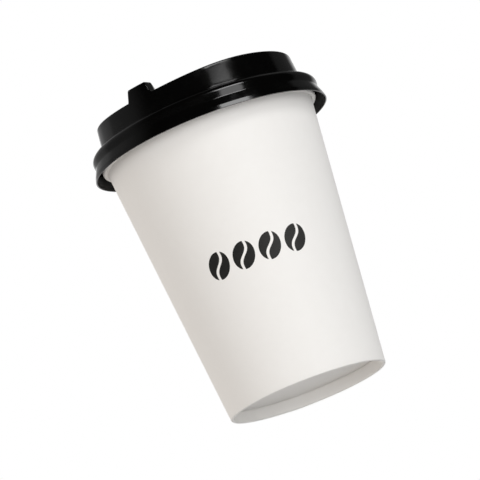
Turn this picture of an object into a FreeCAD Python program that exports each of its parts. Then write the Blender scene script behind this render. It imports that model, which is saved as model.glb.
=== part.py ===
"""Paper coffee cup with a black plastic travel lid.

Millimetres. The origin is the centre of the ring that the cup stands on, +Z up, front towards -Y.
Every piece is a sheet bent into shape, so each one is drawn as the section of a bent sheet
and turned about the cup's axis.
"""
import FreeCAD
import Part
import os
from math import acos, asin, cos, hypot, radians, sin, tan

# Cup, as it is sold: rim, foot and height
rim_diameter = 90.0
base_diameter = 64.6
cup_height = 112.5
board = 0.4  # paperboard of the side wall
curl_width = 2.0  # rolled rim, measured across
curl_height = 3.2  # rolled rim, measured down
curl_roundness = 0.48  # bend of the roll's inside, as a share of its width
curl_gap = 0.05  # between the cut edge of the roll and the wall

# Bottom disc and the hem that holds it
disc_board = 0.4
recess_depth = 5.2  # from the foot up to the disc's underside
disc_corner = 0.9
foot_flat = 0.2  # width of the flat ring that the cup stands on
hem_height = 4.7  # how far the folded-in edge reaches up
glue_gap = 0.03  # hot-pressed seam between two sheets
skirt_gap = 0.35  # between the skirt's edge and the inside of the fold

# Side seam, where the wall's blank overlaps itself; all in degrees about the axis
seam_azimuth = 107.0  # of the outer ply's cut edge
seam_overlap = 9.0  # from there on to the inner ply's cut edge
seam_spread = 20.0  # over which the outer ply sinks back to the wall
seam_end = 1.0  # the sinking ply ends this far before it is quite flush

# Lid, one thermoformed sheet
lid_sheet = 0.45
seat_gap = 0.1  # between the lid's bead and the crown of the rim
bead_bite = 0.3  # how far the bead reaches inside the rim
bead_radius = 0.6
skirt_flank = 45.0  # degrees from level, below the bead
ring_flank = 50.0  # degrees from level, above the bead
lip_overhang = 3.8  # of the lip beyond the cup's rim
lip_band = 1.5
lip_flare = 0.35
lip_bend = 0.9
ring_overhang = 3.2  # of the ring's corner beyond the cup's rim
ring_bend = 1.6
shoulder_angle = 16.0
dome_inset = 3.0  # of the dome's foot inside the edge of the cup's rim
dome_lean = 1.0  # the dome's wall leans in by this much, measured along the radius
dome_height = 10.0  # from the shoulder to the ridge's level top
foot_bend = 0.5
ridge_bend = 1.4
ridge_width = 3.6
ridge_fall = 1.9  # the ridge is this much lower at the spout
fall_start = 16.0  # from the axis towards the spout, where the level top begins to fall
deck_drop = 5.0  # the flat deck lies this far below the ridge's level top
deck_draft = 0.8

# Spout on the ridge; its top is measured between the sharp edges, before they are rounded
spout_azimuth = 241.0
spout_rise = 2.9  # above the ridge's level top
spout_top_width = 8.4
spout_top_depth = 5.4
spout_flank = 18.0  # degrees that its two sides lean in
spout_back = 35.0  # degrees that its back leans in
spout_edge = 1.3
slot_length = 6.0
slot_width = 2.2
vent_diameter = 1.2
vent_radius = 24.0  # from the axis to the vent, opposite the spout


def point(r, z):
    return FreeCAD.Vector(r, 0, z)


def offset_corners(corners, distance):
    """Corners of the line that runs at a distance to the left of the given one."""
    normals = []
    for a, b in zip(corners, corners[1:]):
        length = hypot(b[0] - a[0], b[1] - a[1])
        normals.append((-(b[1] - a[1]) / length, (b[0] - a[0]) / length))
    moved = [(corners[0][0] + normals[0][0] * distance, corners[0][1] + normals[0][1] * distance)]
    for corner, before, after in zip(corners[1:-1], normals, normals[1:]):
        reach = distance / (1 + before[0] * after[0] + before[1] * after[1])
        side = (before[0] + after[0], before[1] + after[1])
        moved.append((corner[0] + side[0] * reach, corner[1] + side[1] * reach))
    moved.append((corners[-1][0] + normals[-1][0] * distance, corners[-1][1] + normals[-1][1] * distance))
    return moved


def turn(a, b, c):
    """Unit directions into and out of the corner b, and the angle between them, positive to the left."""
    into = ((b[0] - a[0]), (b[1] - a[1]))
    away = ((c[0] - b[0]), (c[1] - b[1]))
    into = (into[0] / hypot(*into), into[1] / hypot(*into))
    away = (away[0] / hypot(*away), away[1] / hypot(*away))
    angle = acos(max(-1.0, min(1.0, into[0] * away[0] + into[1] * away[1])))
    if into[0] * away[1] - into[1] * away[0] < 0:
        angle = -angle
    return into, away, angle


def rounded(corners, bends):
    """Edges of a line through the corners, each rounded to its bend, or sharp where that is 0 or less."""
    edges = []
    start = corners[0]
    for a, b, c, bend in zip(corners, corners[1:], corners[2:], bends):
        if bend <= 0:
            edges.append(Part.LineSegment(point(*start), point(*b)).toShape())
            start = b
            continue
        into, away, angle = turn(a, b, c)
        reach = bend * tan(abs(angle) / 2)
        first = (b[0] - into[0] * reach, b[1] - into[1] * reach)
        last = (b[0] + away[0] * reach, b[1] + away[1] * reach)
        chord = ((first[0] + last[0]) / 2, (first[1] + last[1]) / 2)
        to_corner = hypot(b[0] - chord[0], b[1] - chord[1])
        sag = bend * (1 - cos(angle / 2))
        share = sag / to_corner
        middle = (chord[0] + (b[0] - chord[0]) * share, chord[1] + (b[1] - chord[1]) * share)
        if hypot(first[0] - start[0], first[1] - start[1]) > 1e-4:
            edges.append(Part.LineSegment(point(*start), point(*first)).toShape())
        edges.append(Part.Arc(point(*first), point(*middle), point(*last)).toShape())
        start = last
    edges.append(Part.LineSegment(point(*start), point(*corners[-1])).toShape())
    return edges


def offset_bends(corners, bends, distance):
    """Bends of the line at a distance to the left. A tight fold is sharp on its inside."""
    moved = []
    for a, b, c, bend in zip(corners, corners[1:], corners[2:], bends):
        beside = bend - distance if turn(a, b, c)[2] > 0 else bend + distance
        moved.append(beside if beside > distance / 2 else 0)
    return moved


def closed_face(edges):
    return Part.Face(Part.Wire(Part.sortEdges(edges)[0]))


def turned(edges):
    """The closed section that the edges make, turned about the axis."""
    return closed_face(edges).revolve(FreeCAD.Vector(0, 0, 0), FreeCAD.Vector(0, 0, 1), 360)


def turned_sheet(corners, bends, thickness):
    """A bent sheet of even thickness, turned about the axis. The corners lie on its outer face,
    and the sheet lies to the left of them."""
    inner = offset_corners(corners, thickness)
    edges = rounded(corners, bends) + rounded(inner, offset_bends(corners, bends, thickness))
    edges.append(Part.LineSegment(point(*corners[0]), point(*inner[0])).toShape())
    edges.append(Part.LineSegment(point(*corners[-1]), point(*inner[-1])).toShape())
    return turned(edges)


# The wall's outer face is one cone, from the foot to the rolled rim
rim_r = rim_diameter / 2
base_r = base_diameter / 2
curl_middle = cup_height - curl_width / 2
slope = (rim_r - curl_width + board - base_r) / curl_middle
lean = hypot(1, slope)


def wall_face(z, depth=0.0):
    """Radius of the wall at a height, at a depth below its outer face."""
    return base_r + slope * z - depth * lean


def sector(azimuth, spread, low, high):
    """A wedge of space about the axis, wide enough to hold the cup's wall."""
    reach = rim_diameter
    spine = FreeCAD.Vector(0, 0, low)
    ends = []
    for angle in (azimuth, azimuth + spread):
        ends.append(FreeCAD.Vector(reach * cos(radians(angle)), reach * sin(radians(angle)), low))
    outline = Part.makePolygon([spine, ends[0], ends[1], spine])
    return Part.Face(outline).extrude(FreeCAD.Vector(0, 0, high - low))


def cone(low, high, depth):
    """A solid cone that ends at a depth below the wall's outer face."""
    radii = (wall_face(low, depth), wall_face(high, depth))
    return Part.makeCone(*radii, high - low, FreeCAD.Vector(0, 0, low))


def cup_wall():
    """Side wall: hem, fold, cone and rolled rim, all from one sheet."""
    hem_depth = 2 * board + disc_board + 2 * glue_gap
    curl_top = cup_height - board
    curl_low = cup_height - curl_height + board
    across = rim_r - board - wall_face(curl_top)
    curl_bend = curl_roundness * across
    fold = (hem_depth - foot_flat / lean) / 2
    corners = [
        (wall_face(hem_height, hem_depth), hem_height),
        (wall_face(0, hem_depth), 0),
        (wall_face(0), 0),
        (wall_face(curl_top), curl_top),
        (rim_r - board, curl_top),
        (rim_r - board, curl_low),
        (wall_face(curl_low) + curl_gap, curl_low),
    ]
    shell = turned_sheet(corners, [fold, fold, curl_bend, curl_bend, curl_bend], board)

    # Outer ply of the side seam: cones set off the axis, a board proud at its edge and flush further round
    low = hem_depth / 2
    high = cup_height - curl_height
    shift = board / (1 - cos(radians(seam_spread)))
    aside = FreeCAD.Vector(shift * cos(radians(seam_azimuth)), shift * sin(radians(seam_azimuth)), 0)
    ply = cone(low, high, shift - board).translated(aside)
    ply = ply.common(sector(seam_azimuth, seam_spread - seam_end, low, high)).cut(cone(low, high, board / 2))

    # Past the inner ply's cut edge, the wall inside follows the outer ply
    floor_z = recess_depth + disc_board
    under = cone(floor_z, high, shift).translated(aside)
    rest = seam_spread - seam_overlap - seam_end
    under = under.common(sector(seam_azimuth + seam_overlap, rest, floor_z, high))
    return shell.fuse(ply).cut(under).removeSplitter()


def cup_base():
    """Bottom disc with its skirt turned down between the wall and the hem."""
    top = recess_depth + disc_board
    depth = board + glue_gap
    low = board + skirt_gap
    corners = [(wall_face(low, depth), low), (wall_face(top, depth), top), (0, top)]
    return turned_sheet(corners, [disc_corner], disc_board)


# Lid, from the bead up: the bead rests on the crown of the rim
bead_middle_r = rim_r - bead_bite + bead_radius + lid_sheet
bead_reach = curl_width / 2 + seat_gap + bead_radius + lid_sheet
bead_z = curl_middle + (bead_reach ** 2 - (bead_middle_r - rim_r + curl_width / 2) ** 2) ** 0.5
bead_half = radians(skirt_flank + ring_flank) / 2
bead_tilt = radians(ring_flank - skirt_flank) / 2
bead_corner_r = bead_middle_r - bead_radius * cos(bead_tilt) / sin(bead_half)
bead_corner_z = bead_z - bead_radius * sin(bead_tilt) / sin(bead_half)
ring_r = rim_r + ring_overhang
ring_z = bead_corner_z + (ring_r - bead_corner_r) * tan(radians(ring_flank))
dome_r = rim_r - dome_inset
shoulder_z = ring_z + (ring_r - dome_r) * tan(radians(shoulder_angle))
top_r = dome_r - dome_lean
top_z = shoulder_z + dome_height
deck_r = top_r - ridge_width - deck_draft
deck_z = top_z - deck_drop
spout_z = top_z + spout_rise
dome_draft = dome_lean / dome_height


def dome_face(z, depth):
    """Radius of the dome's wall at a height, at a depth below its outer face."""
    return top_r + (top_z - z) * dome_draft - depth * hypot(1, dome_draft)


def skirt_and_dome(depth):
    """Solid inside the lid's outer face, or at a depth below it, from the lip to above the ridge.
    Deeper ones reach further below the lip."""
    lip_top_r = rim_r + lip_overhang - lip_flare
    lip_top = bead_corner_z - (lip_top_r - bead_corner_r) * tan(radians(skirt_flank))
    run = lip_band + 2 * depth
    corners = [
        (lip_top_r + lip_flare * run / lip_band, lip_top - run),
        (lip_top_r, lip_top),
        (bead_corner_r, bead_corner_z),
        (ring_r, ring_z),
        (dome_r, shoulder_z),
        (dome_face(spout_z, 0), spout_z),
    ]
    bends = offset_bends(corners, [lip_bend, bead_radius, ring_bend, foot_bend], depth)
    corners = offset_corners(corners, depth)
    edges = rounded(corners, bends)
    closing = [corners[-1], (0, corners[-1][1]), (0, corners[0][1]), corners[0]]
    edges += [Part.LineSegment(point(*a), point(*b)).toShape() for a, b in zip(closing, closing[1:])]
    return turned(edges)


def below_ridge(depth):
    """Space below the ridge's top: level at the back, then one long arc that falls towards the spout."""
    reach = top_r - fall_start
    radius = (reach ** 2 + ridge_fall ** 2) / (2 * ridge_fall)
    level = top_z - depth
    wide = 2 * rim_r
    sweep = asin((wide - fall_start) / radius)
    arc = []
    for angle in (0, sweep / 2, sweep):
        x = fall_start + (radius - depth) * sin(angle)
        arc.append(point(x, top_z - radius + (radius - depth) * cos(angle)))
    around = [arc[2], point(arc[2].x, 0), point(-wide, 0), point(-wide, level), arc[0]]
    edges = [Part.Arc(*arc).toShape()]
    edges += [Part.LineSegment(a, b).toShape() for a, b in zip(around, around[1:])]
    profile = closed_face(edges).translated(FreeCAD.Vector(0, -wide, 0))
    return profile.extrude(FreeCAD.Vector(0, 2 * wide, 0))


def deck_recess(depth):
    """Space above the deck and inside the ridge."""
    draft = deck_draft / deck_drop
    low = deck_z - depth
    shift = depth * hypot(1, draft)
    radii = [deck_r + (z - deck_z) * draft + shift for z in (low, spout_z)]
    return Part.makeCone(radii[0], radii[1], spout_z - low, FreeCAD.Vector(0, 0, low))


def round_edges(shape, low, high, reach):
    """Curved edges whose middle lies between two heights and within reach of the axis."""
    found = []
    for edge in shape.Edges:
        middle = edge.valueAt((edge.FirstParameter + edge.LastParameter) / 2)
        straight = edge.Curve.TypeId == "Part::GeomLine"
        if not straight and low < middle.z < high and hypot(middle.x, middle.y) < reach:
            found.append(edge)
    return found


def dome_form(depth):
    """Skirt, dome, ridge and sunk deck as one solid, its edges rounded as the sheet bends."""
    form = skirt_and_dome(depth).common(below_ridge(depth)).cut(deck_recess(depth))
    halfway = (deck_z + top_z - ridge_fall) / 2
    crest = round_edges(form, halfway, spout_z, dome_r)
    form = form.makeFillet(ridge_bend - depth, crest)
    foot = round_edges(form, deck_z - depth - lid_sheet, halfway, top_r - ridge_width)
    return form.makeFillet(foot_bend + depth, foot)


def spout_block(depth):
    """The spout's block, with its faces at a depth below the sheet's outer face.
    Its front is part of the dome wall's own cone, carried on upwards."""
    low = deck_z - lid_sheet / 2 - 2 * depth
    top = spout_z - depth
    back_r = dome_face(spout_z, 0) - spout_top_depth
    outlines = []
    for z in (low, top):
        drop = spout_z - z
        half = spout_top_width / 2 + drop * tan(radians(spout_flank)) - depth / cos(radians(spout_flank))
        back = back_r - drop * tan(radians(spout_back)) + depth / cos(radians(spout_back))
        ends = [(rim_r, -half), (rim_r, half), (back, half), (back, -half), (rim_r, -half)]
        outlines.append(Part.makePolygon([FreeCAD.Vector(x, y, z) for x, y in ends]))
    block = Part.makeLoft(outlines, True, True)
    front = Part.makeCone(dome_face(low, depth), dome_face(top, depth), top - low, FreeCAD.Vector(0, 0, low))
    block = block.common(front)
    rising = [edge for edge in block.Edges if max(end.Z for end in edge.Vertexes) > top_z - deck_drop / 2]
    return block.makeFillet(spout_edge - depth, rising)


def sip_slot():
    """A round-ended cutter through the top of the spout, along the rim."""
    middle_r = dome_face(spout_z, 0) - spout_top_depth / 2
    run = (slot_length - slot_width) / 2
    height = 2 * spout_edge
    low = spout_z - spout_edge
    cutter = Part.makeBox(slot_width, 2 * run, height, FreeCAD.Vector(middle_r - slot_width / 2, -run, low))
    for side in (-run, run):
        cutter = cutter.fuse(Part.makeCylinder(slot_width / 2, height, FreeCAD.Vector(middle_r, side, low)))
    return cutter


def lid():
    """Travel lid: outer form less inner form, each with its spout, pierced by the slot and the vent."""
    cover = dome_form(0).cut(dome_form(lid_sheet))
    cover = cover.fuse(spout_block(0)).cut(spout_block(lid_sheet)).cut(sip_slot())
    vent_foot = FreeCAD.Vector(-vent_radius, 0, deck_z - 2 * lid_sheet)
    vent = Part.makeCylinder(vent_diameter / 2, 4 * lid_sheet, vent_foot)
    cover = cover.cut(vent).removeSplitter()
    cover.rotate(FreeCAD.Vector(0, 0, 0), FreeCAD.Vector(0, 0, 1), spout_azimuth)
    return cover


os.makedirs("parts", exist_ok=True)
for node, shape in {"cup_wall": cup_wall(), "cup_base": cup_base(), "lid": lid()}.items():
    shape.exportStep("parts/" + node + ".step")
    state = "valid" if shape.isValid() else "broken"
    print(node, len(shape.Solids), "solid", round(shape.Volume), "mm3", state)
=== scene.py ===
# %% [markdown]
# # A paper coffee cup with a black travel lid
# The cup is three sheets of material: a paperboard wall wrapped to a cone, a paperboard disc pressed into its
# foot, and a thin black lid drawn over a mould. The construction model gives their real sizes. This lesson
# dresses it: it rebuilds each sheet smoothly, gives it a finish, prints an ornament on the wall and lights it.
# First the imported model is loaded as a fixed frame.

# %% Load the frame
from math import atan2, cos, degrees, hypot, pi, radians, sin, tan

import bmesh
import bpy
from mathutils import Matrix, Vector


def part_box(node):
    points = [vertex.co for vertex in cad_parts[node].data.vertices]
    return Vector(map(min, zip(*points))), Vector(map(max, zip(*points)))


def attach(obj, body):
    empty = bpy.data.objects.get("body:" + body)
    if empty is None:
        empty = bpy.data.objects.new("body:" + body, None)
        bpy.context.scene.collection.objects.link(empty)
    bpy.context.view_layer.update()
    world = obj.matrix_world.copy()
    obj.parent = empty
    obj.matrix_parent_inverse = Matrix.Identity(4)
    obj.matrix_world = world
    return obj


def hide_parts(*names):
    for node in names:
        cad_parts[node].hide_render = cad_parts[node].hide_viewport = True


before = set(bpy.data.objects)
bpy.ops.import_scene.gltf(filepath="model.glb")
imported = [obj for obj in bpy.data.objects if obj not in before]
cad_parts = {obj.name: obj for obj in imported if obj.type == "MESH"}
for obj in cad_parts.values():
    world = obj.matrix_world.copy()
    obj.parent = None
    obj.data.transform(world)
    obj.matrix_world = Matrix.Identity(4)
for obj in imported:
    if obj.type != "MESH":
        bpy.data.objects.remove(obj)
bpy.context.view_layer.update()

# %% [markdown]
# Sizes are read from the frame where it shows them, to the nearest tenth of a millimetre, and the sheet
# thicknesses and bends are named here. Everything below is worked out in millimetres and becomes metres
# when a mesh is made. Azimuths are counted in degrees from +X, anticlockwise seen from above, so the front of
# the cup is at 270 and the side seam is at the back.

# %% Sizes
MM = 0.001


def corner(node, end):
    """A node's lowest or highest corner, in millimetres."""
    return [round(value / MM, 1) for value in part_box(node)[end]]


rim_r, cup_height = corner("cup_wall", 1)[0], corner("cup_wall", 1)[2]
lip_r, spout_top = corner("lid", 1)[0], corner("lid", 1)[2]
base_r = 32.3
board = 0.4
curl_width = 2.0
curl_height = 3.2
seam_azimuth = 107.0
curl_middle = cup_height - curl_width / 2
slope = (rim_r - curl_width + board - base_r) / curl_middle
lean = hypot(1, slope)


def wall_face(z, depth=0.0):
    """Radius of the wall at a height, at a depth below its outer face."""
    return base_r + slope * z - depth * lean


print("rim radius", rim_r, "height", cup_height, "lip radius", lip_r, "top of the spout", spout_top)

# %% [markdown]
# A bent sheet has the same thickness everywhere, so its section is one line with rounded corners and a second
# line beside it. The next helper walks along such a line and returns counted points: a set number on each bend
# and each flat, whatever its size. That makes sections easy to blend into each other later.

# %% A line with rounded corners


def unit(a, b):
    """Direction from one point to the next, one long."""
    length = hypot(b[0] - a[0], b[1] - a[1])
    return (b[0] - a[0]) / length, (b[1] - a[1]) / length


def rounded_line(corners, bends, arc_steps=8, flat_steps=1):
    """Points along the line. flat_steps is one number, or one for each flat."""
    if isinstance(flat_steps, int):
        flat_steps = [flat_steps] * (len(corners) - 1)
    stretches = []
    for a, b, c, bend in zip(corners, corners[1:], corners[2:], bends):
        into, away = unit(a, b), unit(b, c)
        angle = atan2(into[0] * away[1] - into[1] * away[0], into[0] * away[0] + into[1] * away[1])
        reach = bend * tan(abs(angle) / 2)
        first = (b[0] - into[0] * reach, b[1] - into[1] * reach)
        side = 1 if angle > 0 else -1
        middle = (first[0] - into[1] * bend * side, first[1] + into[0] * bend * side)
        x, y = first[0] - middle[0], first[1] - middle[1]
        arc = []
        for step in range(arc_steps + 1):
            turned = angle * step / arc_steps
            across = middle[0] + x * cos(turned) - y * sin(turned)
            arc.append((across, middle[1] + x * sin(turned) + y * cos(turned)))
        stretches.append(arc)
    stretches.append([corners[-1]])
    points = [corners[0]]
    for stretch, steps in zip(stretches, flat_steps):
        start = points[-1]
        run = (stretch[0][0] - start[0], stretch[0][1] - start[1])
        for step in range(1, steps):
            share = step / steps
            points.append((start[0] + run[0] * share, start[1] + run[1] * share))
        points.extend(stretch)
    return points


sample = rounded_line([(0, 0), (10, 0), (10, 10)], [2])
print("a corner with a bend of 2 mm has", len(sample), "points")

# %% [markdown]
# The second line runs at the sheet's thickness beside the first. On the inside of a bend it turns more tightly,
# by that thickness, and on the outside more gently, as bent board and drawn plastic do. Both lines together
# close the outline of the sheet.

# %% The outline of a bent sheet
tightest_bend = 0.05


def beside(corners, distance):
    """Corners of the line that runs at a distance to the left of the given one."""
    sides = []
    for a, b in zip(corners, corners[1:]):
        along = unit(a, b)
        sides.append((-along[1], along[0]))
    moved = [(corners[0][0] + sides[0][0] * distance, corners[0][1] + sides[0][1] * distance)]
    for here, before, after in zip(corners[1:-1], sides, sides[1:]):
        reach = distance / (1 + before[0] * after[0] + before[1] * after[1])
        moved.append((here[0] + (before[0] + after[0]) * reach, here[1] + (before[1] + after[1]) * reach))
    moved.append((corners[-1][0] + sides[-1][0] * distance, corners[-1][1] + sides[-1][1] * distance))
    return moved


def sheet_outline(corners, bends, thickness, arc_steps=8, flat_steps=1):
    """Closed outline of a bent sheet: out along its outer face and back along its inner one."""
    inner_bends = []
    for a, b, c, bend in zip(corners, corners[1:], corners[2:], bends):
        into, away = unit(a, b), unit(b, c)
        left = into[0] * away[1] - into[1] * away[0] > 0
        inner_bends.append(max(bend - thickness, tightest_bend) if left else bend + thickness)
    outer = rounded_line(corners, bends, arc_steps, flat_steps)
    inner = rounded_line(beside(corners, thickness), inner_bends, arc_steps, flat_steps)
    return outer + inner[::-1]


print("the same corner as a sheet has", len(sheet_outline([(0, 0), (10, 0), (10, 10)], [2], board)), "points")

# %% [markdown]
# Node trees are written as plain Python. One small class wraps a socket, so that `a * b + c` on two of them
# adds the Math nodes. A smooth step from 0 to 1 is needed so often that it gets a method of its own.

# %% A number in a node tree


class Value:
    """A number that flows through a node tree."""

    def __init__(self, graph, socket):
        self.graph = graph
        self.socket = socket

    def math(self, operation, *others):
        operands = dict(enumerate((self,) + others))
        return self.graph.make("ShaderNodeMath", {"operation": operation}, operands)

    def __add__(self, other):
        return self.math("ADD", other)

    def __sub__(self, other):
        return self.math("SUBTRACT", other)

    def __mul__(self, other):
        return self.math("MULTIPLY", other)

    def __truediv__(self, other):
        return self.math("DIVIDE", other)

    def __rsub__(self, other):
        return self.graph.make("ShaderNodeMath", {"operation": "SUBTRACT"}, {0: other, 1: self})

    __radd__ = __add__
    __rmul__ = __mul__

    def between(self, low, high):
        """0 below low, 1 above high, and a smooth step from one to the other."""
        ends = {"Value": self, "From Min": low, "From Max": high}
        return self.graph.make("ShaderNodeMapRange", {"interpolation_type": "SMOOTHSTEP"}, ends)


print("operators:", "+ - * / and between")

# %% [markdown]
# A second class is the tree itself. One method makes every kind of node from its type, its settings and the
# values or links of its sockets, and a few short ones name the nodes that come up again and again: noise, a
# colour mix, the parts of a place, and the finish of a surface.

# %% A node tree
relief_depth = 0.1 * MM


class Graph:
    """A node tree that is being written."""

    def __init__(self, tree):
        self.tree = tree

    def make(self, kind, settings=None, values=None, output=0):
        node = self.tree.nodes.new(kind)
        for name, setting in (settings or {}).items():
            setattr(node, name, setting)
        for name, value in (values or {}).items():
            if isinstance(value, Value):
                self.tree.links.new(value.socket, node.inputs[name])
            else:
                node.inputs[name].default_value = value
        return Value(self, node.outputs[output]) if len(node.outputs) else node

    def split(self, value):
        """The other outputs of the node that a value comes from, by name."""
        return {socket.name: Value(self, socket) for socket in value.socket.node.outputs}

    def axes(self, vector):
        """The X, Y and Z of a vector, by name."""
        return self.split(self.make("ShaderNodeSeparateXYZ", {}, {"Vector": vector}))

    def vector(self, **parts):
        return self.make("ShaderNodeCombineXYZ", {}, parts)

    def length(self, vector):
        return self.make("ShaderNodeVectorMath", {"operation": "LENGTH"}, {0: vector}, "Value")

    def round_the_axis(self, radius, angle, height):
        """The place at a radius, an angle and a height."""
        return self.vector(X=radius * angle.math("COSINE"), Y=radius * angle.math("SINE"), Z=height)

    def object_place(self):
        """Where a point lies on its piece."""
        return self.split(self.make("ShaderNodeTexCoord"))["Object"]

    def colour(self, factor, first, second):
        return self.make("ShaderNodeMix", {"data_type": "RGBA"}, {0: factor, 6: first, 7: second}, 2)

    def noise(self, where, scale, detail=3.0, roughness=0.55):
        values = {"Vector": where, "Scale": scale, "Detail": detail, "Roughness": roughness}
        return self.make("ShaderNodeTexNoise", {}, values)

    def stretched(self, where, scale):
        """Coordinates scaled differently along each axis, for a pattern with a direction."""
        return self.make("ShaderNodeMapping", {}, {"Vector": where, "Scale": scale})

    def bump(self, strength, height):
        values = {"Strength": strength, "Distance": relief_depth, "Height": height}
        return self.make("ShaderNodeBump", {}, values)

    def finish(self, looks):
        """Ends a material with one plain shader."""
        shader = self.make("ShaderNodeBsdfPrincipled", {}, looks)
        self.make("ShaderNodeOutputMaterial", {}, {"Surface": shader})


def new_graph(owner):
    """The emptied graph of a new material or world."""
    owner.use_nodes = True
    owner.node_tree.nodes.clear()
    return Graph(owner.node_tree)


print("relief is", relief_depth / MM, "mm deep")

# %% [markdown]
# Uncoated white board is matt, very slightly warm, and never perfectly even: pulp makes soft clouds a few
# millimetres wide, single fibres catch the light, and rollers leave the surface a little wavy. The inside of
# the cup has a thin film that makes it smoother and shinier. Noise at three scales gives the clouds, fibres and
# waves, and the distance from the axis tells the inside from the outside. Along the side seam a thin line at the
# seam's azimuth, outside only, gets a darker brown. It is partly the raw pulp of the blank's cut edge and partly
# painted shade along the step of the seam.

# %% Paper
pulp_dark = (0.845, 0.828, 0.803, 1)
pulp_light = (0.885, 0.872, 0.852, 1)
# The seam colour is partly the raw pulp of the cut edge and partly painted shade along the seam's step.
seam_cut_and_shade = (0.66, 0.62, 0.56, 1)


def paper_material():
    material = bpy.data.materials.new("cup_paper")
    graph = new_graph(material)
    where = graph.object_place()
    place = graph.axes(where)
    radius = graph.length(graph.vector(X=place["X"], Y=place["Y"]))
    face = place["Z"] * slope + (base_r - board / 2) * MM
    outside = (radius - face).between(-0.1 * MM, 0.1 * MM)
    clouds = graph.noise(where, 260.0, 4.0, 0.6)
    waves = graph.noise(graph.stretched(where, (1.0, 1.0, 0.45)), 45.0, 2.0, 0.5)
    fibres = graph.noise(graph.stretched(where, (1.0, 1.0, 3.0)), 2200.0, 3.0, 0.7)
    turn = place["Y"].math("ARCTAN2", place["X"])
    off_seam = ((turn - radians(seam_azimuth)) * radius).math("ABSOLUTE")
    # Painted shade: a thin strip along the seam, partly the raw cut edge and partly the shade of its step.
    raw_edge_and_seam_shade = (1 - off_seam.between(0.15 * MM, 0.4 * MM)) * outside
    pulp = graph.colour(clouds * 0.7 + waves * 0.3, pulp_dark, pulp_light)
    graph.finish({
        "Base Color": graph.colour(raw_edge_and_seam_shade, pulp, seam_cut_and_shade),
        "Roughness": 0.42 + outside * 0.2 + (fibres - 0.5) * 0.12,
        "Normal": graph.bump(0.35, clouds * 0.25 + waves * 0.9 + fibres * 0.12),
    })
    return material


paper = paper_material()
print(paper.name, len(paper.node_tree.nodes), "nodes")

# %% [markdown]
# The lid is glossy black polystyrene. Drawn over a mould, it keeps faint ripples where it stretched, fine
# specks of dust, and patches that are a shade less shiny. The black itself is darker than it looks: what the
# eye sees is mostly reflection. Inside the skirt, light passes to and fro between the white cup and the sheet.
# A duller, partly metallic finish there stands in for that. A face is inside where it looks towards the axis,
# below the rim.

# %% Lid plastic
black_dark = (0.0006, 0.0006, 0.0006, 1)
black_light = (0.0018, 0.0017, 0.0016, 1)


def lid_material():
    material = bpy.data.materials.new("lid_plastic")
    graph = new_graph(material)
    where = graph.object_place()
    place = graph.axes(where)
    ripples = graph.noise(graph.stretched(where, (1.0, 1.0, 0.5)), 55.0, 2.0, 0.4)
    grain = graph.noise(where, 900.0, 3.0, 0.6)
    handling = graph.noise(where, 120.0, 4.0, 0.65)
    outwards = graph.vector(X=place["X"], Y=place["Y"])
    facing = graph.split(graph.make("ShaderNodeNewGeometry"))["Normal"]
    looks_out = graph.make("ShaderNodeVectorMath", {"operation": "DOT_PRODUCT"}, {0: facing, 1: outwards}, "Value")
    under_rim = 1 - place["Z"].between((cup_height - 1) * MM, (cup_height + 1) * MM)
    inside = (1 - looks_out.between(-0.02, 0.0)) * under_rim
    graph.finish({
        "Base Color": graph.colour(grain, black_dark, black_light),
        "Roughness": 0.1 + handling.between(0.4, 0.75) * 0.08 + inside * 0.35,
        "Metallic": inside * 0.7,
        "IOR": 1.55,
        "Normal": graph.bump(0.25, ripples + grain * 0.03),
    })
    return material


lid_plastic = lid_material()
print(lid_plastic.name, len(lid_plastic.node_tree.nodes), "nodes")

# %% [markdown]
# Ink on board is not one flat black: it lies thinner over the hollows between fibres, and is a little shinier
# than the bare paper. One fine noise drives its colour, its roughness and its relief together.

# %% Ink
ink_thick = (0.012, 0.0115, 0.0105, 1)
ink_thin = (0.022, 0.021, 0.018, 1)


def ink_material():
    material = bpy.data.materials.new("ink")
    graph = new_graph(material)
    where = graph.object_place()
    cover = graph.noise(where, 1500.0, 3.0, 0.7)
    graph.finish({
        "Base Color": graph.colour(cover.between(0.35, 0.8), ink_thick, ink_thin),
        "Roughness": 0.5 + cover * 0.15,
        "Normal": graph.bump(0.2, cover),
    })
    return material


ink = ink_material()
print(ink.name, len(ink.node_tree.nodes), "nodes")

# %% [markdown]
# A Geometry Nodes tree takes a shape, some sizes and a material, and gives a shape back. Both trees of this
# lesson begin and end alike: the sizes become named inputs, copies become real faces, and those faces get the
# material. So that is written once.

# %% The ends of a geometry tree
socket_kinds = {bool: "NodeSocketBool", int: "NodeSocketInt", float: "NodeSocketFloat"}


def geometry_tree(name, sizes):
    """A new tree's graph and its inputs: a geometry, the named sizes and a material."""
    tree = bpy.data.node_groups.new(name, "GeometryNodeTree")
    tree.interface.new_socket("Geometry", in_out="INPUT", socket_type="NodeSocketGeometry")
    for label, value in sizes.items():
        socket = tree.interface.new_socket(label, in_out="INPUT", socket_type=socket_kinds[type(value)])
        socket.default_value = value
    tree.interface.new_socket("Material", in_out="INPUT", socket_type="NodeSocketMaterial")
    tree.interface.new_socket("Geometry", in_out="OUTPUT", socket_type="NodeSocketGeometry")
    graph = Graph(tree)
    return graph, graph.split(graph.make("NodeGroupInput"))


def close_tree(graph, geometry, material):
    real = graph.make("GeometryNodeRealizeInstances", {}, {"Geometry": geometry})
    dressed = graph.make("GeometryNodeSetMaterial", {}, {"Geometry": real, "Material": material})
    graph.make("NodeGroupOutput", {}, {"Geometry": dressed})
    return graph.tree


print("kinds of size:", [kind.__name__ for kind in socket_kinds])

# %% [markdown]
# The wall and the disc are both turned forms: one section carried round the axis. Geometry Nodes does that with
# an arc as the path and the section as its profile. The wall is a wrapped blank whose end overlaps its start,
# so its path runs on past a full turn, and the last stretch is lifted outwards by the board's thickness. Its
# ends are filled, and they show as the cut edges of the side seam, outside and inside, as on a real cup. The
# disc has no seam: its ends are left open and merged, which closes it without a hidden face inside.

# %% The turning tree


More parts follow.
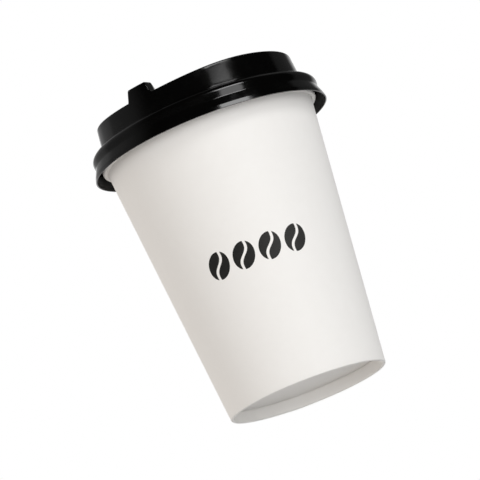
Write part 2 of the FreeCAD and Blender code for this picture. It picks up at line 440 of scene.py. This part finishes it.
def turning_tree():
    graph, given = geometry_tree("turn_a_section", {
        "Steps": 240, "Path Radius": 0.04, "Start Angle": 0.0, "Sweep Angle": 2 * pi,
        "Rise": 0.0, "Rise Begins": 0.9, "Rise Ends": 0.95, "Flush Above": 1.0,
        "Merge Distance": 0.0, "Fill Ends": True,
    })
    arc = graph.make("GeometryNodeCurveArc", {"mode": "RADIUS"}, {
        "Resolution": given["Steps"], "Radius": given["Path Radius"],
        "Start Angle": given["Start Angle"], "Sweep Angle": given["Sweep Angle"]})
    share = graph.make("GeometryNodeSplineParameter")
    path = graph.make("GeometryNodeStoreNamedAttribute", {"data_type": "FLOAT", "domain": "POINT"},
                      {"Geometry": arc, "Name": "turn", "Value": share})
    section = graph.make("GeometryNodeMeshToCurve", {}, {"Mesh": given["Geometry"]})
    swept = graph.make("GeometryNodeCurveToMesh", {}, {
        "Curve": path, "Profile Curve": section, "Fill Caps": given["Fill Ends"]})
    turn = graph.make("GeometryNodeInputNamedAttribute", {"data_type": "FLOAT"}, {"Name": "turn"})
    place = graph.axes(graph.make("GeometryNodeInputPosition"))
    radius = graph.length(graph.vector(X=place["X"], Y=place["Y"]))
    lifted = turn.between(given["Rise Begins"], given["Rise Ends"])
    below = 1 - place["Z"].between(given["Flush Above"] - 2 * MM, given["Flush Above"])
    reach = radius + given["Rise"] * lifted * (below * 0.9 + 0.1)
    angle = given["Start Angle"] + turn * given["Sweep Angle"]
    turned = graph.round_the_axis(reach, angle, place["Z"])
    moved = graph.make("GeometryNodeSetPosition", {}, {"Geometry": swept, "Position": turned})
    merged = graph.make("GeometryNodeMergeByDistance", {}, {"Geometry": moved, "Distance": given["Merge Distance"]})
    return close_tree(graph, merged, given["Material"])


turn_a_section = turning_tree()
print(turn_a_section.name, len(turn_a_section.nodes), "nodes")

# %% [markdown]
# A modifier's inputs are set by their identifiers. The result is then turned into a plain mesh, its faces are
# pointed outwards, and edges sharper than a limit are kept crisp.

# %% From a node tree to a plain piece


def make_object(name, mesh):
    piece = bpy.data.objects.new(name, mesh)
    bpy.context.scene.collection.objects.link(piece)
    return piece


def bake_modifiers(piece):
    """Replaces the piece's mesh with what its modifiers make, and removes them."""
    graph = bpy.context.evaluated_depsgraph_get()
    mesh = bpy.data.meshes.new_from_object(piece.evaluated_get(graph))
    piece.modifiers.clear()
    mesh.name = piece.name
    piece.data = mesh


def run_tree(piece, tree, values):
    """Puts a piece through a tree, with the tree's inputs given by name."""
    modifier = piece.modifiers.new(tree.name, "NODES")
    modifier.node_group = tree
    for item in tree.interface.items_tree:
        if item.item_type == "SOCKET" and item.in_out == "INPUT" and item.name in values:
            modifier[item.identifier] = values[item.name]
    bake_modifiers(piece)


def finish_mesh(piece, material, crisp=40.0):
    """Outward faces, smooth shading with crisp cut edges, and one material."""
    work = bmesh.new()
    work.from_mesh(piece.data)
    bmesh.ops.remove_doubles(work, verts=work.verts, dist=1e-7)
    bmesh.ops.recalc_face_normals(work, faces=work.faces)
    work.to_mesh(piece.data)
    work.free()
    piece.data.materials.clear()
    piece.data.materials.append(material)
    piece.data.shade_smooth()
    piece.data.set_sharp_from_angle(angle=radians(crisp))
    print(piece.name, len(piece.data.polygons), "faces, box", [round(value / MM, 1) for value in piece.dimensions])


def turned_piece(name, outline, material, sizes):
    """A piece made by the turning tree from a closed outline in the r, z plane."""
    count = len(outline)
    mesh = bpy.data.meshes.new(name)
    points = [(r * MM - sizes["Path Radius"], -z * MM, 0) for r, z in outline]
    mesh.from_pydata(points, [(i, (i + 1) % count) for i in range(count)], [])
    piece = make_object(name, mesh)
    run_tree(piece, turn_a_section, {**sizes, "Material": material})
    finish_mesh(piece, material)
    return piece


tree_inputs = [item.name for item in turn_a_section.interface.items_tree if item.in_out == "INPUT"]
print("inputs of the turning tree:", tree_inputs)

# %% [markdown]
# The wall's section starts at the inner edge of the hem, runs down to the foot, folds back on itself, climbs
# the cone and rolls outwards into the rim. The fold is round, with a narrow flat at the bottom that the cup
# stands on, and the rolled rim is an oval, taller than it is wide. The sheet climbs over the last eleven degrees
# before it overlaps itself, and is pressed almost flush where the rim is rolled.

# %% The wall
disc_board = 0.4
glue_gap = 0.03
foot_flat = 0.2
hem_height = 4.7
curl_gap = 0.05
curl_roundness = 0.48
seam_overlap = 9.0
seam_ease = 11.0
full_lift = 359.5
wall_steps = 280
cone_steps = 40


def wall_outline():
    hem_depth = 2 * board + disc_board + 2 * glue_gap
    curl_top = cup_height - board
    curl_low = cup_height - curl_height + board
    across = rim_r - board - wall_face(curl_top)
    fold = (hem_depth - foot_flat / lean) / 2
    corners = [
        (wall_face(hem_height, hem_depth), hem_height),
        (wall_face(0, hem_depth), 0),
        (wall_face(0), 0),
        (wall_face(curl_top), curl_top),
        (rim_r - board, curl_top),
        (rim_r - board, curl_low),
        (wall_face(curl_low) + curl_gap, curl_low),
    ]
    curl = curl_roundness * across
    return sheet_outline(corners, [fold, fold, curl, curl, curl], board, 8, [3, 1, cone_steps, 1, 1, 1])


sweep = 360 + seam_overlap
cup_wall = turned_piece("wall", wall_outline(), paper, {
    "Steps": wall_steps,
    "Path Radius": 40.0 * MM,
    "Start Angle": radians(seam_azimuth - seam_overlap),
    "Sweep Angle": radians(sweep),
    "Rise": (board + glue_gap) * MM,
    "Rise Begins": (360 - seam_ease) / sweep,
    "Rise Ends": full_lift / sweep,
    "Flush Above": (cup_height - curl_height - 1) * MM,
})
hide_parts("cup_wall")
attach(cup_wall, "cup")

# %% [markdown]
# The bottom disc is a second turned sheet: flat in the middle, with its edge turned down between the wall and
# the hem. An open path's two ends point slightly aside, which would miss the centre by more the wider the path
# is. So the disc is turned about a path of only 1 mm, and every point at the centre merges into one.

# %% The bottom disc
recess_depth = 5.2
disc_corner = 0.9
skirt_gap = 0.35
disc_steps = 193


def base_outline():
    top = recess_depth + disc_board
    depth = board + glue_gap
    low = board + skirt_gap
    corners = [(wall_face(low, depth), low), (wall_face(top, depth), top), (0.001, top)]
    return sheet_outline(corners, [disc_corner], disc_board, 8, [1, 12])


cup_base = turned_piece("bottom_disc", base_outline(), paper, {
    "Steps": disc_steps, "Path Radius": 1.0 * MM, "Merge Distance": 0.02 * MM, "Fill Ends": False,
})
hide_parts("cup_base")
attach(cup_base, "cup")

# %% [markdown]
# The lid is one sheet too, but its section changes round the axis. Here is the line of its outer face: from the
# lip up the skirt into a shallow groove, over the rounded ring, up the dome to the ridge, and down to the sunken
# deck. The ridge is level at the back and falls towards the spout in one long arc. Out of that low part the spout
# climbs, widens and slopes back down to the deck. A number called raised is 0 on the ridge and 1 on the spout.

# %% The lid's section
lip_band = 1.5
lip_flare = 0.35
lip_bend = 0.9
lip_top = cup_height - 3.3
groove_r = rim_r + 2.0
groove_z = cup_height + 0.2
groove_bend = 1.6
ring_r = rim_r + 2.75
ring_z = cup_height + 4.1
ring_bend = 2.6
shoulder = radians(16.0)
dome_r = rim_r - 3.0
dome_top_r = dome_r - 1.0
dome_height = 10.0
foot_bend = 0.5
ridge_bend = 0.8
ridge_width = 3.6
ridge_fall = 1.9
fall_start = 16.0
deck_drop = 5.0
deck_draft = 0.8
spout_depth = 5.4
spout_back = radians(35.0)


def fall(r, angle):
    """How far the ridge has fallen at a radius, and an angle from the spout's middle."""
    reach = dome_top_r - fall_start
    radius = (reach ** 2 + ridge_fall ** 2) / (2 * ridge_fall)
    along = max(r * cos(angle) - fall_start, 0.0)
    return radius - (radius ** 2 - along ** 2) ** 0.5


def lid_line(angle, raised):
    """Outer face of the lid's section, from the lip to the middle, at an angle from the spout's middle."""
    shoulder_z = ring_z + (ring_r - dome_r) * tan(shoulder)
    top_z = shoulder_z + dome_height
    deck_z = top_z - deck_drop
    climb = (spout_top - top_z) * raised
    outer_z = top_z - fall(dome_top_r, angle) * (1 - raised) + climb
    inner_z = top_z - fall(dome_top_r - ridge_width, angle) * (1 - raised) + climb
    front = dome_top_r + (top_z - outer_z) * (dome_r - dome_top_r) / dome_height
    depth = ridge_width + (spout_depth - ridge_width) * raised
    run = deck_draft + ((inner_z - deck_z) * tan(spout_back) - deck_draft) * raised
    corners = [
        (lip_r, lip_top - lip_band),
        (lip_r - lip_flare, lip_top),
        (groove_r, groove_z),
        (ring_r, ring_z),
        (dome_r, shoulder_z),
        (front, outer_z),
        (front - depth, inner_z),
        (front - depth - run, deck_z),
        (0.01, deck_z),
    ]
    bends = [lip_bend, groove_bend, ring_bend, foot_bend, ridge_bend, ridge_bend, foot_bend]
    return rounded_line(corners, bends, 9, [2, 1, 1, 2, 8, 4, 6, 14])


plain_line = lid_line(pi, 0.0)
plain_top = max(z for r, z in plain_line)
print("lid section", len(plain_line), "points, top", round(plain_top, 2))

# %% [markdown]
# A turned form can't hold the spout, so the lid is a grid with one section in each column. Far from the spout
# every section is the plain one, in the spout it is the raised one, and on the spout's flanks each point moves
# from one to the other with its distance from the spout's middle. Rounded knees on that move soften the
# block's edges. The columns are close together over the spout and wider round the rest.

# %% The lid's grid
spout_azimuth = radians(240.4)
spout_half = 4.2
spout_flank = radians(18.0)
soft_edge = 0.2
near_step = 0.30
near_columns = 34
far_columns = 76


def soft_clamp(value, softness):
    """Clamps to 0..1 with rounded knees."""
    value = min(value, 1.0) - max(softness - abs(value - 1.0), 0.0) ** 2 / (4 * softness)
    return max(value, 0.0) + max(softness - abs(value), 0.0) ** 2 / (4 * softness)


def lid_columns():
    """Angles from the spout's middle, in degrees."""
    near = [degrees(near_step / dome_top_r) * step for step in range(near_columns)]
    start = near[-1]
    far = [start + (180 - start) * step / far_columns for step in range(1, far_columns + 1)]
    half = near + far
    return [-angle for angle in half[-2:0:-1]] + half


def column_points(angle):
    """One section of the lid. Near the spout, each point is raised by its own distance from the spout's middle."""
    plain = lid_line(angle, 0.0)
    if abs(angle) > pi / 4:
        return plain
    local_top = max(z for r, z in plain)
    run = (spout_top - local_top) * tan(spout_flank)
    aside = abs(dome_top_r * sin(angle))
    if aside > spout_half + run + 2:
        return plain
    known = {}
    points = []
    for index, (r, z) in enumerate(plain):
        share = soft_clamp((spout_half + run - abs(r * sin(angle))) / run, soft_edge)
        level = round(share, 2)
        if level not in known:
            known[level] = lid_line(angle, level)
        points.append(known[level][index])
    return points


def lid_grid():
    columns = [radians(angle) for angle in lid_columns()]
    points, faces = [], []
    for angle in columns:
        turn = spout_azimuth + angle
        for r, z in column_points(angle):
            points.append((r * MM * cos(turn), r * MM * sin(turn), z * MM))
    rows = len(plain_line)
    for i in range(len(columns)):
        j = (i + 1) % len(columns)
        for k in range(rows - 1):
            faces.append((i * rows + k, j * rows + k, j * rows + k + 1, i * rows + k + 1))
    mesh = bpy.data.meshes.new("lid_sheet")
    mesh.from_pydata(points, [], faces)
    return mesh


lid_piece = make_object("travel_lid", lid_grid())
print("lid grid", len(lid_piece.data.vertices), "points")

# %% [markdown]
# Before the lid gets its thickness, the points that meet at the middle of the deck are merged and the faces
# are pointed outwards. Solidify then adds the sheet on the inside, and two cutters open the sip slot and the
# vent, as punches do on the real lid.

# %% The lid's thickness, slot and vent
lid_sheet = 0.45
slot_length = 6.0
slot_width = 2.2
slot_reach = 1.5
vent_r = 0.6
vent_place = 24.0
cutter_steps = 24


def close_middle(mesh):
    work = bmesh.new()
    work.from_mesh(mesh)
    bmesh.ops.remove_doubles(work, verts=work.verts, dist=0.02 * MM)
    bmesh.ops.recalc_face_normals(work, faces=work.faces)
    top = max(work.faces, key=lambda face: face.calc_center_median().z)
    if top.normal.z < 0:
        bmesh.ops.reverse_faces(work, faces=work.faces)
    work.to_mesh(mesh)
    work.free()


def round_cutter(name, half_length, half_width, middle_r, low, high):
    """An upright cutter with round ends, its length along the rim, in line with the spout."""
    ring = []
    for step in range(cutter_steps):
        angle = 2 * pi * (step + 0.5) / cutter_steps
        run = (half_length - half_width) * (1 if sin(angle) > 0 else -1)
        ring.append((middle_r + half_width * cos(angle), run + half_width * sin(angle)))
    points = [(x * MM, y * MM, z * MM) for z in (low, high) for x, y in ring]
    faces = [tuple(range(cutter_steps))[::-1], tuple(range(cutter_steps, 2 * cutter_steps))]
    for k in range(cutter_steps):
        n = (k + 1) % cutter_steps
        faces.append((k, n, cutter_steps + n, cutter_steps + k))
    mesh = bpy.data.meshes.new(name)
    mesh.from_pydata(points, [], faces)
    mesh.transform(Matrix.Rotation(spout_azimuth, 4, "Z"))
    return make_object(name, mesh)


close_middle(lid_piece.data)
sheet = lid_piece.modifiers.new("sheet", "SOLIDIFY")
sheet.thickness = lid_sheet * MM
sheet.offset = -1
sheet.use_even_offset = True
bake_modifiers(lid_piece)

slot_r = dome_top_r - (spout_top - plain_top) * (dome_r - dome_top_r) / dome_height - spout_depth / 2
deck_z = plain_line[-1][1]
cutters = [
    round_cutter("slot_cutter", slot_length / 2, slot_width / 2, slot_r, spout_top - slot_reach, spout_top + 1),
    round_cutter("vent_cutter", vent_r, vent_r, -vent_place, deck_z - 1, deck_z + 1),
]
for cutter in cutters:
    cut = lid_piece.modifiers.new("cut", "BOOLEAN")
    cut.object = cutter
    cut.operation = "DIFFERENCE"
    cut.solver = "EXACT"
bake_modifiers(lid_piece)
for cutter in cutters:
    bpy.data.objects.remove(cutter)
finish_mesh(lid_piece, lid_plastic, 50.0)
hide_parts("lid")
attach(lid_piece, "lid")

# %% [markdown]
# The front of the cup carries a printed ornament, a row of coffee beans in black ink. One flat bean is drawn
# first: two halves of an oval with a swaying gap between them, as thin closed plates. Where the gap runs off
# the tip of a half, its two side walls fall together into a loose flap, which is deleted.

# %% One flat bean
bean_half_width = 4.4
bean_half_height = 5.5
bean_split = 1.15
bean_sway = 0.9
bean_lean = 18.0
ink_lift = 0.025


def bean_mesh():
    """Two halves of an oval, standing upright."""
    work = bmesh.new()
    rows, columns = 28, 6
    for side in (-1, 1):
        grids = []
        for depth in (-ink_lift, ink_lift):
            grid = []
            for row in range(rows + 1):
                z = -bean_half_height * cos(pi * row / rows)
                edge = bean_half_width * sin(pi * row / rows) * side
                sway = bean_sway * sin(pi * z / bean_half_height) + bean_split / 2 * side
                inner = sway if abs(sway) < abs(edge) or sway * side < 0 else edge
                line = []
                for column in range(columns + 1):
                    x = inner + (edge - inner) * column / columns
                    line.append(work.verts.new((x * MM, depth * MM, z * MM)))
                grid.append(line)
            grids.append(grid)
        back, front = grids
        for row in range(rows):
            for column in range(columns):
                for grid in (back, front):
                    low, high = grid[row], grid[row + 1]
                    work.faces.new((low[column], low[column + 1], high[column + 1], high[column]))
            for column in (0, columns):
                work.faces.new((back[row][column], back[row + 1][column], front[row + 1][column], front[row][column]))
    bmesh.ops.remove_doubles(work, verts=work.verts, dist=0.001 * MM)
    bmesh.ops.dissolve_degenerate(work, edges=work.edges, dist=0.001 * MM)
    flaps = [face for face in work.faces if any(edge.is_boundary for edge in face.edges)]
    bmesh.ops.delete(work, geom=flaps, context="FACES")
    bmesh.ops.recalc_face_normals(work, faces=work.faces)
    bmesh.ops.rotate(work, verts=work.verts, cent=(0, 0, 0), matrix=Matrix.Rotation(radians(bean_lean), 3, "Y"))
    mesh = bpy.data.meshes.new("bean")
    work.to_mesh(mesh)
    work.free()
    return mesh


bean = bean_mesh()
print("bean", len(bean.polygons), "faces")

# %% [markdown]
# A printing plate lies flat and the blank is printed flat, before it is wrapped. The next tree does the same:
# it repeats the bean along a straight line and then bends the row round the cone, so that the distance along
# the line becomes an angle.

# %% The printing tree


def printing_tree():
    graph, given = geometry_tree("print_a_row", {
        "Count": 4, "Spacing": 0.01, "Height": 0.05, "Foot Radius": 0.03, "Slope": 0.1, "Middle Angle": 0.0,
    })
    spacing = given["Spacing"]
    first = (given["Count"] - 1) * spacing * -0.5
    line = graph.make("GeometryNodeMeshLine", {"mode": "OFFSET"}, {
        "Count": given["Count"], "Start Location": graph.vector(X=first, Z=given["Height"]),
        "Offset": graph.vector(X=spacing)})
    copies = graph.make("GeometryNodeInstanceOnPoints", {}, {"Points": line, "Instance": given["Geometry"]})
    real = graph.make("GeometryNodeRealizeInstances", {}, {"Geometry": copies})
    place = graph.axes(graph.make("GeometryNodeInputPosition"))
    face = given["Foot Radius"] + place["Z"] * given["Slope"]
    middle = given["Foot Radius"] + given["Height"] * given["Slope"]
    angle = given["Middle Angle"] + place["X"] / middle
    bent = graph.round_the_axis(face + place["Y"], angle, place["Z"])
    moved = graph.make("GeometryNodeSetPosition", {}, {"Geometry": real, "Position": bent})
    return close_tree(graph, moved, given["Material"])


print_a_row = printing_tree()
print(print_a_row.name, len(print_a_row.nodes), "nodes")

# %% [markdown]
# Four beans make the row, a little below the middle of the wall. It stands nearly at the front, so it faces the
# camera, and it rides with the cup.

# %% The printed row
bean_count = 4
bean_spacing = 10.75
print_height = 53.0
print_azimuth = -88.4

print_row = make_object("bean_row", bean)
run_tree(print_row, print_a_row, {
    "Count": bean_count,
    "Spacing": bean_spacing * MM,
    "Height": print_height * MM,
    "Foot Radius": base_r * MM,
    "Slope": slope,
    "Middle Angle": radians(print_azimuth),
    "Material": ink,
})
finish_mesh(print_row, ink, 60.0)
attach(print_row, "cup")

# %% [markdown]
# The camera hangs below the cup and looks a little up, with a long lens, and is rolled so that the cup leans.
# Its place comes from fitting circles of the foot, rim and lid to the picture.

# %% Camera
image_size = 480
focal_pixels = 3817.0
sensor = 36.0
view_rise = radians(11.274)
view_roll = radians(-21.137)
camera_place = Vector((-3.606, -1476.444, -227.858)) * MM

camera_data = bpy.data.cameras.new("camera")
camera_data.sensor_width = sensor
camera_data.lens = focal_pixels / image_size * sensor
camera_data.clip_start = 0.05
camera_data.clip_end = 20.0
camera = make_object("camera", camera_data)
turned = Matrix.Rotation(pi / 2 + view_rise, 4, "X") @ Matrix.Rotation(view_roll, 4, "Z")
camera.matrix_world = Matrix.Translation(camera_place) @ turned
bpy.context.scene.camera = camera
print("lens", round(camera_data.lens, 1), "mm")

# %% [markdown]
# The floor is pale and catches the cup's shadow. The camera looks from below it, so the floor shows only to
# what looks down on it, and lets light through from below. It fades out into the white background.

# %% Floor
floor_half = 1.0
fade_begins = 0.25
fade_ends = 0.8


def floor_material():
    material = bpy.data.materials.new("floor")
    graph = new_graph(material)
    where = graph.object_place()
    rays = graph.split(graph.make("ShaderNodeLightPath"))
    behind = graph.split(graph.make("ShaderNodeNewGeometry"))["Backfacing"]
    far = graph.length(where).between(fade_begins, fade_ends)
    shown = rays["Is Camera Ray"] * (1 - behind) * (1 - far)
    mottle = graph.noise(where, 60.0, 3.0, 0.5)
    tone = graph.colour(mottle, (0.86, 0.86, 0.86, 1), (0.88, 0.88, 0.88, 1))
    matt = graph.make("ShaderNodeBsdfDiffuse", {}, {"Color": tone})
    clear = graph.make("ShaderNodeBsdfTransparent")
    mixed = graph.make("ShaderNodeMixShader", {}, {0: shown, 1: clear, 2: matt})
    graph.make("ShaderNodeOutputMaterial", {}, {"Surface": mixed})
    return material


def floor_mesh(half):
    mesh = bpy.data.meshes.new("floor")
    mesh.from_pydata([(-half, -half, 0), (half, -half, 0), (half, half, 0), (-half, half, 0)], [], [(0, 1, 2, 3)])
    mesh.materials.append(floor_material())
    return mesh


floor = make_object("floor", floor_mesh(floor_half))
print("floor", [round(value, 2) for value in floor.dimensions])

# %% [markdown]
# The light is a white studio, and matt paper and black gloss ask different things of it. So the surroundings
# answer by kind of ray. To the camera they are plain white. To the paper they are a broad light from behind,
# a band of light from the front, and a warm wall on the left. Black plastic shows its surroundings, so to
# reflections the studio is dark, with a few dim walls and a brighter far end behind the cup.

# %% The studio's walls
backdrop_level = 0.78
front_level = 1.46
warm_level = 0.46
warm_tint = (1, 0.9, 0.8, 1)
darkest_wall = 0.003


def studio_world():
    world = bpy.data.worlds.new("studio")
    graph = new_graph(world)
    rays = graph.split(graph.make("ShaderNodeLightPath"))
    place = graph.axes(graph.split(graph.make("ShaderNodeTexCoord"))["Generated"])
    across, back, up = place["X"], place["Y"], place["Z"]
    seen = rays["Is Camera Ray"]
    mirrored = rays["Is Glossy Ray"]
    soft = 1 - seen - mirrored
    backdrop = back.between(-0.3, 0.5) * backdrop_level
    front_band = (0 - back).between(0.0, 1.0) * (1 - up.math("ABSOLUTE").between(0.0, 0.7)) * front_level
    warm_side = (0 - across).between(-0.2, 1.0) * warm_level
    left_wall = (back * 0.6 - across).between(0.35, 0.9) * 0.15
    far_left = (back * 0.9 - across * 0.4).between(0.68, 0.78) * 0.1
    right_wall = (back + across * 0.3).between(0.58, 0.68) * 0.07
    far_end = (back + across * 0.1).between(0.86, 0.97) * 0.6
    ceiling = up.between(0.6, 0.8) * back.between(0.15, 0.4) * 0.12
    reflected = darkest_wall + left_wall + far_left + right_wall + far_end + ceiling
    level = seen + soft * (backdrop + front_band) + mirrored * reflected
    white = graph.make("ShaderNodeBackground", {}, {"Color": (1, 1, 1, 1), "Strength": level})
    warm = graph.make("ShaderNodeBackground", {}, {"Color": warm_tint, "Strength": soft * warm_side})
    both = graph.make("ShaderNodeAddShader", {}, {0: white, 1: warm})
    graph.make("ShaderNodeOutputWorld", {}, {"Surface": both})
    return world


bpy.context.scene.world = studio_world()
bpy.context.scene.view_settings.view_transform = "Standard"
print("studio walls", len(bpy.context.scene.world.node_tree.nodes), "nodes")

# %% [markdown]
# Two soft boxes stand to the right of the camera. The key is high and lights the wall from that side. A tall
# strip, lower down and dimmer, is what the upright dome mirrors as a grey band. A lamp's energy is worked out
# from how bright its face should look, so that its size and its brightness can be changed apart.

# %% The soft boxes
box_distance = 1.0
cup_middle = Vector((0, 0, 0.07))


def soft_box(name, azimuth, elevation, width, height, radiance):
    """An area lamp that faces the cup. Azimuth is to the camera's right of the front."""
    data = bpy.data.lights.new(name, "AREA")
    data.shape = "RECTANGLE"
    data.size = width
    data.size_y = height
    data.energy = radiance * pi * width * height
    lamp = make_object(name, data)
    a, e = radians(azimuth), radians(elevation)
    away = Vector((sin(a) * cos(e), -cos(a) * cos(e), sin(e)))
    lamp.location = cup_middle + away * box_distance
    lamp.rotation_mode = "QUATERNION"
    lamp.rotation_quaternion = away.to_track_quat("Z", "Y")
    lamp.visible_camera = False
    print(name, round(data.energy, 2), "W")


soft_box("key", azimuth=37.0, elevation=39.0, width=0.44, height=0.3, radiance=6.0)
soft_box("low_strip", azimuth=34.5, elevation=-7.0, width=0.4, height=1.3, radiance=2.5)
